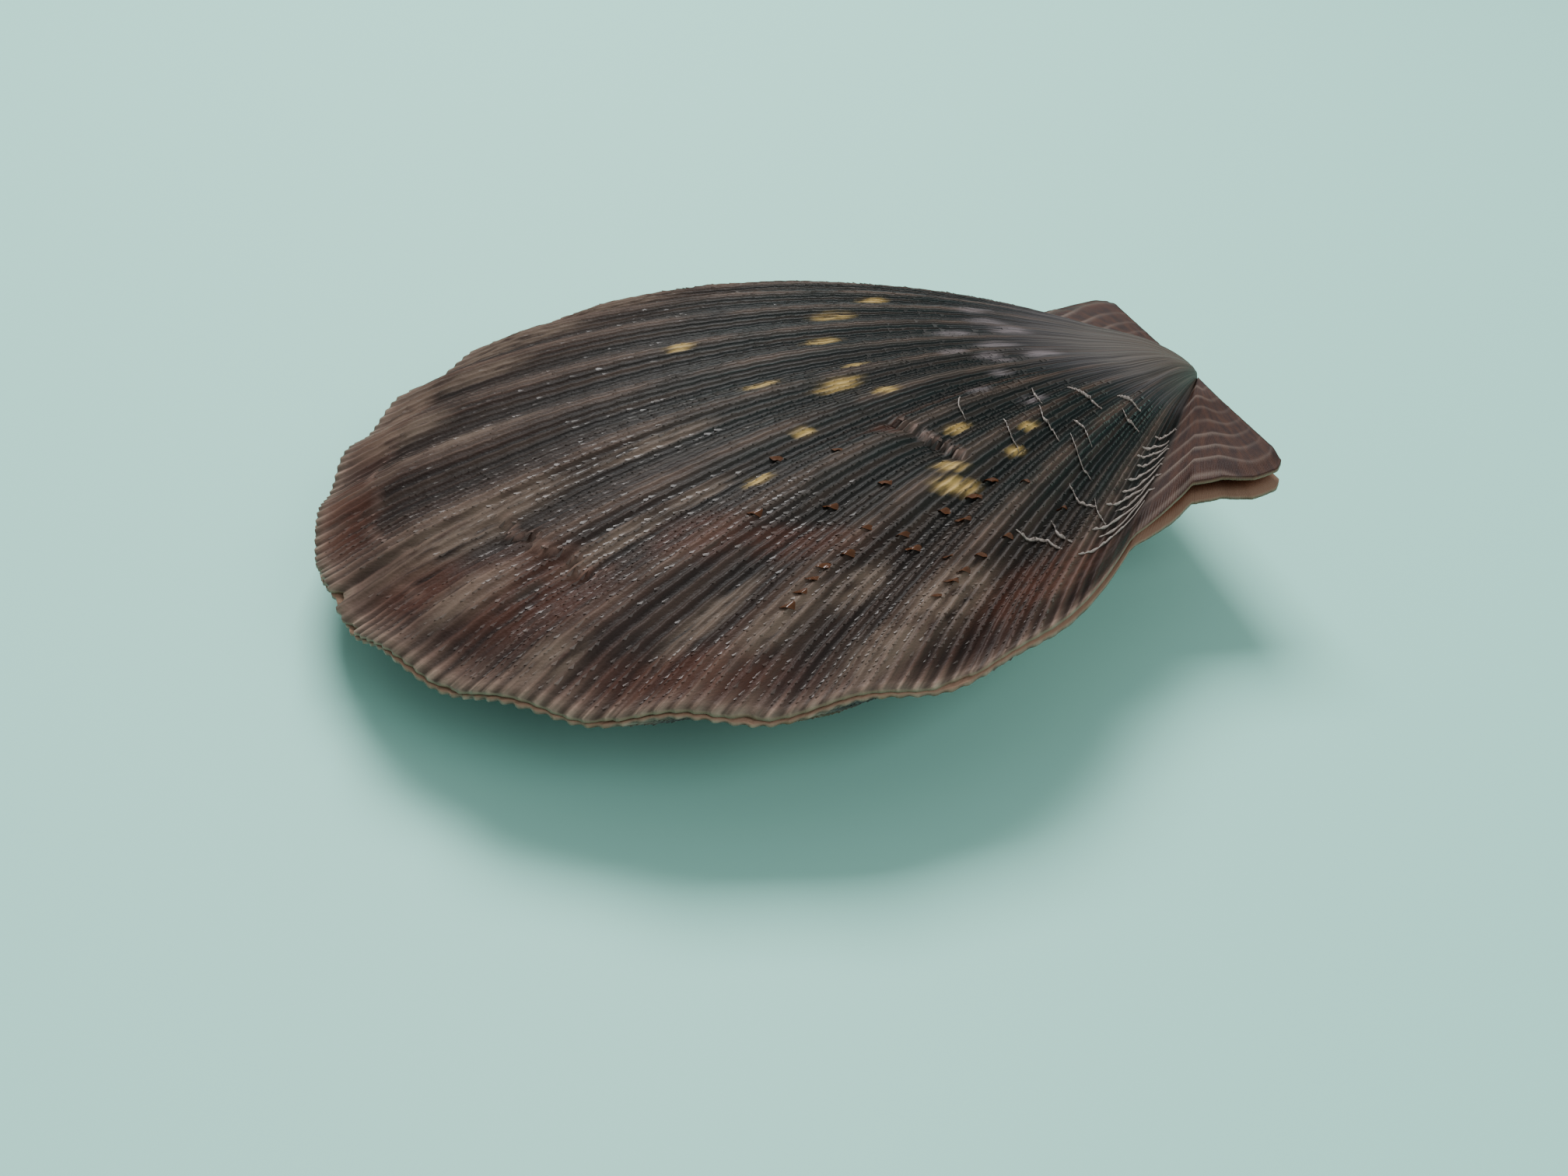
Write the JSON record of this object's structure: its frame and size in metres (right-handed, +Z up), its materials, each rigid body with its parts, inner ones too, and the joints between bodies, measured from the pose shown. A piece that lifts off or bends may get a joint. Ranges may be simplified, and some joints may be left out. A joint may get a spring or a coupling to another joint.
{
  "type": "scallop shell",
  "caption": "Closed scallop shell with both fan-shaped, ribbed valves and unequal hinge ears, dark purple-brown with pale scales, resting on its lower valve.",
  "frame": {"origin": "bottom centre of the bounding box of the whole shell, on the surface that it rests on", "axes": "+Z up, +X from the ventral margin towards the hinge, +Y from the rear (small) ears' side towards the front ears' side"},
  "size_m": [0.0512, 0.0492, 0.0123],
  "materials": {
    "left_valve": "satin, fine scaly riblets with glossy edges",
    "right_valve": "satin, fine scaly riblets with glossy edges",
    "hinge_ligament": "dull, dried"
  },
  "bodies": {
    "root": {"left_valve": "left_valve", "right_valve": "right_valve", "hinge_ligament": "hinge_ligament"}
  },
  "joints": []
}
